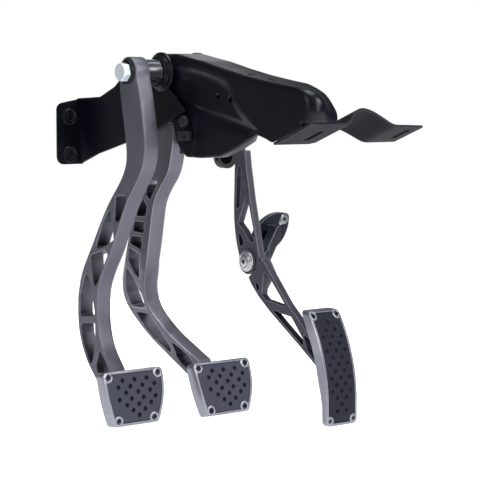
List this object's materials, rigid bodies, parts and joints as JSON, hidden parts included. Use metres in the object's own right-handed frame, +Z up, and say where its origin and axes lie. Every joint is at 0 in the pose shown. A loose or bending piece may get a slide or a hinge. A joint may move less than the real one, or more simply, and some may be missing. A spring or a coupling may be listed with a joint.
{
  "type": "hanging pedal assembly",
  "caption": "Hanging clutch, brake and throttle pedal assembly on a stamped black bracket, with windowed grey aluminium arms and rubber-faced pads.",
  "frame": {"origin": "centre of the four firewall bolt holes, on the face that meets the firewall", "axes": "+X to the car's right, +Y forward into the firewall, +Z up"},
  "size_m": [0.3887, 0.4415, 0.4455],
  "materials": {
    "bracket_paint": "gloss",
    "bush_bronze": "satin",
    "black_plastic": "matte",
    "zinc": "satin",
    "rubber": "matte",
    "spring_steel": "satin",
    "mount_black": "satin",
    "stainless": "satin",
    "polished": "polished",
    "arm_anodised": "satin",
    "pad_metal": "satin",
    "pad_rubber": "matte",
    "screw_dark": "satin"
  },
  "bodies": {
    "bracket": {"bracket_left_half": "bracket_paint", "bracket_right_half": "bracket_paint", "firewall_leg_left": "bracket_paint", "firewall_leg_right": "bracket_paint", "bearing_boss_left": "bracket_paint", "bearing_boss_right": "bracket_paint", "pivot_bushes": "bush_bronze", "column_saddle": "bracket_paint", "switch_tab": "bracket_paint", "stop_switch": "black_plastic", "switch_nuts": "zinc", "grommet_bracket": "bracket_paint", "grommet": "rubber", "clutch_return_spring": "spring_steel", "throttle_mount": "mount_black", "throttle_mount_screws": "stainless", "throttle_pivot_bolt": "polished", "throttle_return_spring": "spring_steel"},
    "clutch": {"clutch_arm": "arm_anodised", "clutch_pad_frame": "pad_metal", "clutch_pad_rubber": "pad_rubber", "clutch_pad_screws": "screw_dark", "pivot_shaft": "polished", "clutch_sleeve": "polished", "clutch_washer": "bracket_paint", "clutch_bolt": "zinc", "clutch_lever": "bracket_paint", "clutch_rod_pin": "zinc", "shaft_clip": "spring_steel", "shaft_spacer": "zinc"},
    "brake": {"brake_arm": "arm_anodised", "brake_pad_frame": "pad_metal", "brake_pad_rubber": "pad_rubber", "brake_pad_screws": "screw_dark", "brake_hub": "arm_anodised", "brake_hub_bushes": "bush_bronze", "brake_push_pin": "zinc", "brake_return_spring": "spring_steel"},
    "throttle": {"throttle_upper_arm": "arm_anodised", "throttle_lower_arm": "arm_anodised", "throttle_pad_frame": "pad_metal", "throttle_pad_rubber": "pad_rubber", "throttle_pad_screws": "screw_dark", "throttle_set_screws": "screw_dark", "throttle_bush": "bush_bronze", "throttle_pivot_washer": "bracket_paint"},
    "plunger": {"switch_plunger": "black_plastic"}
  },
  "joints": [
    {"name": "clutch_pivot", "type": "hinge", "parent": "bracket", "child": "clutch", "pos_m": [-0.039, -0.168, 0.0746], "axis": [1, 0, 0], "range_deg": [0, 22], "stiffness_Nm_per_rad": 8, "springref_deg": -11.46},
    {"name": "brake_pivot", "type": "hinge", "parent": "bracket", "child": "brake", "pos_m": [-0.019, -0.168, 0.0746], "axis": [1, 0, 0], "range_deg": [0, 14], "stiffness_Nm_per_rad": 8, "springref_deg": -11.46},
    {"name": "throttle_pivot", "type": "hinge", "parent": "bracket", "child": "throttle", "pos_m": [0.186, -0.044, -0.1636], "axis": [1, 0, 0], "range_deg": [0, 18], "stiffness_Nm_per_rad": 1.6, "springref_deg": -28.65},
    {"name": "switch_slide", "type": "slide", "parent": "bracket", "child": "plunger", "axis": [0, 1, 0], "range_m": [0, 0.006]}
  ],
  "couplings": [
    {"joint": "switch_slide", "follows": "brake_pivot", "m_per_rad": 0.0245}
  ]
}
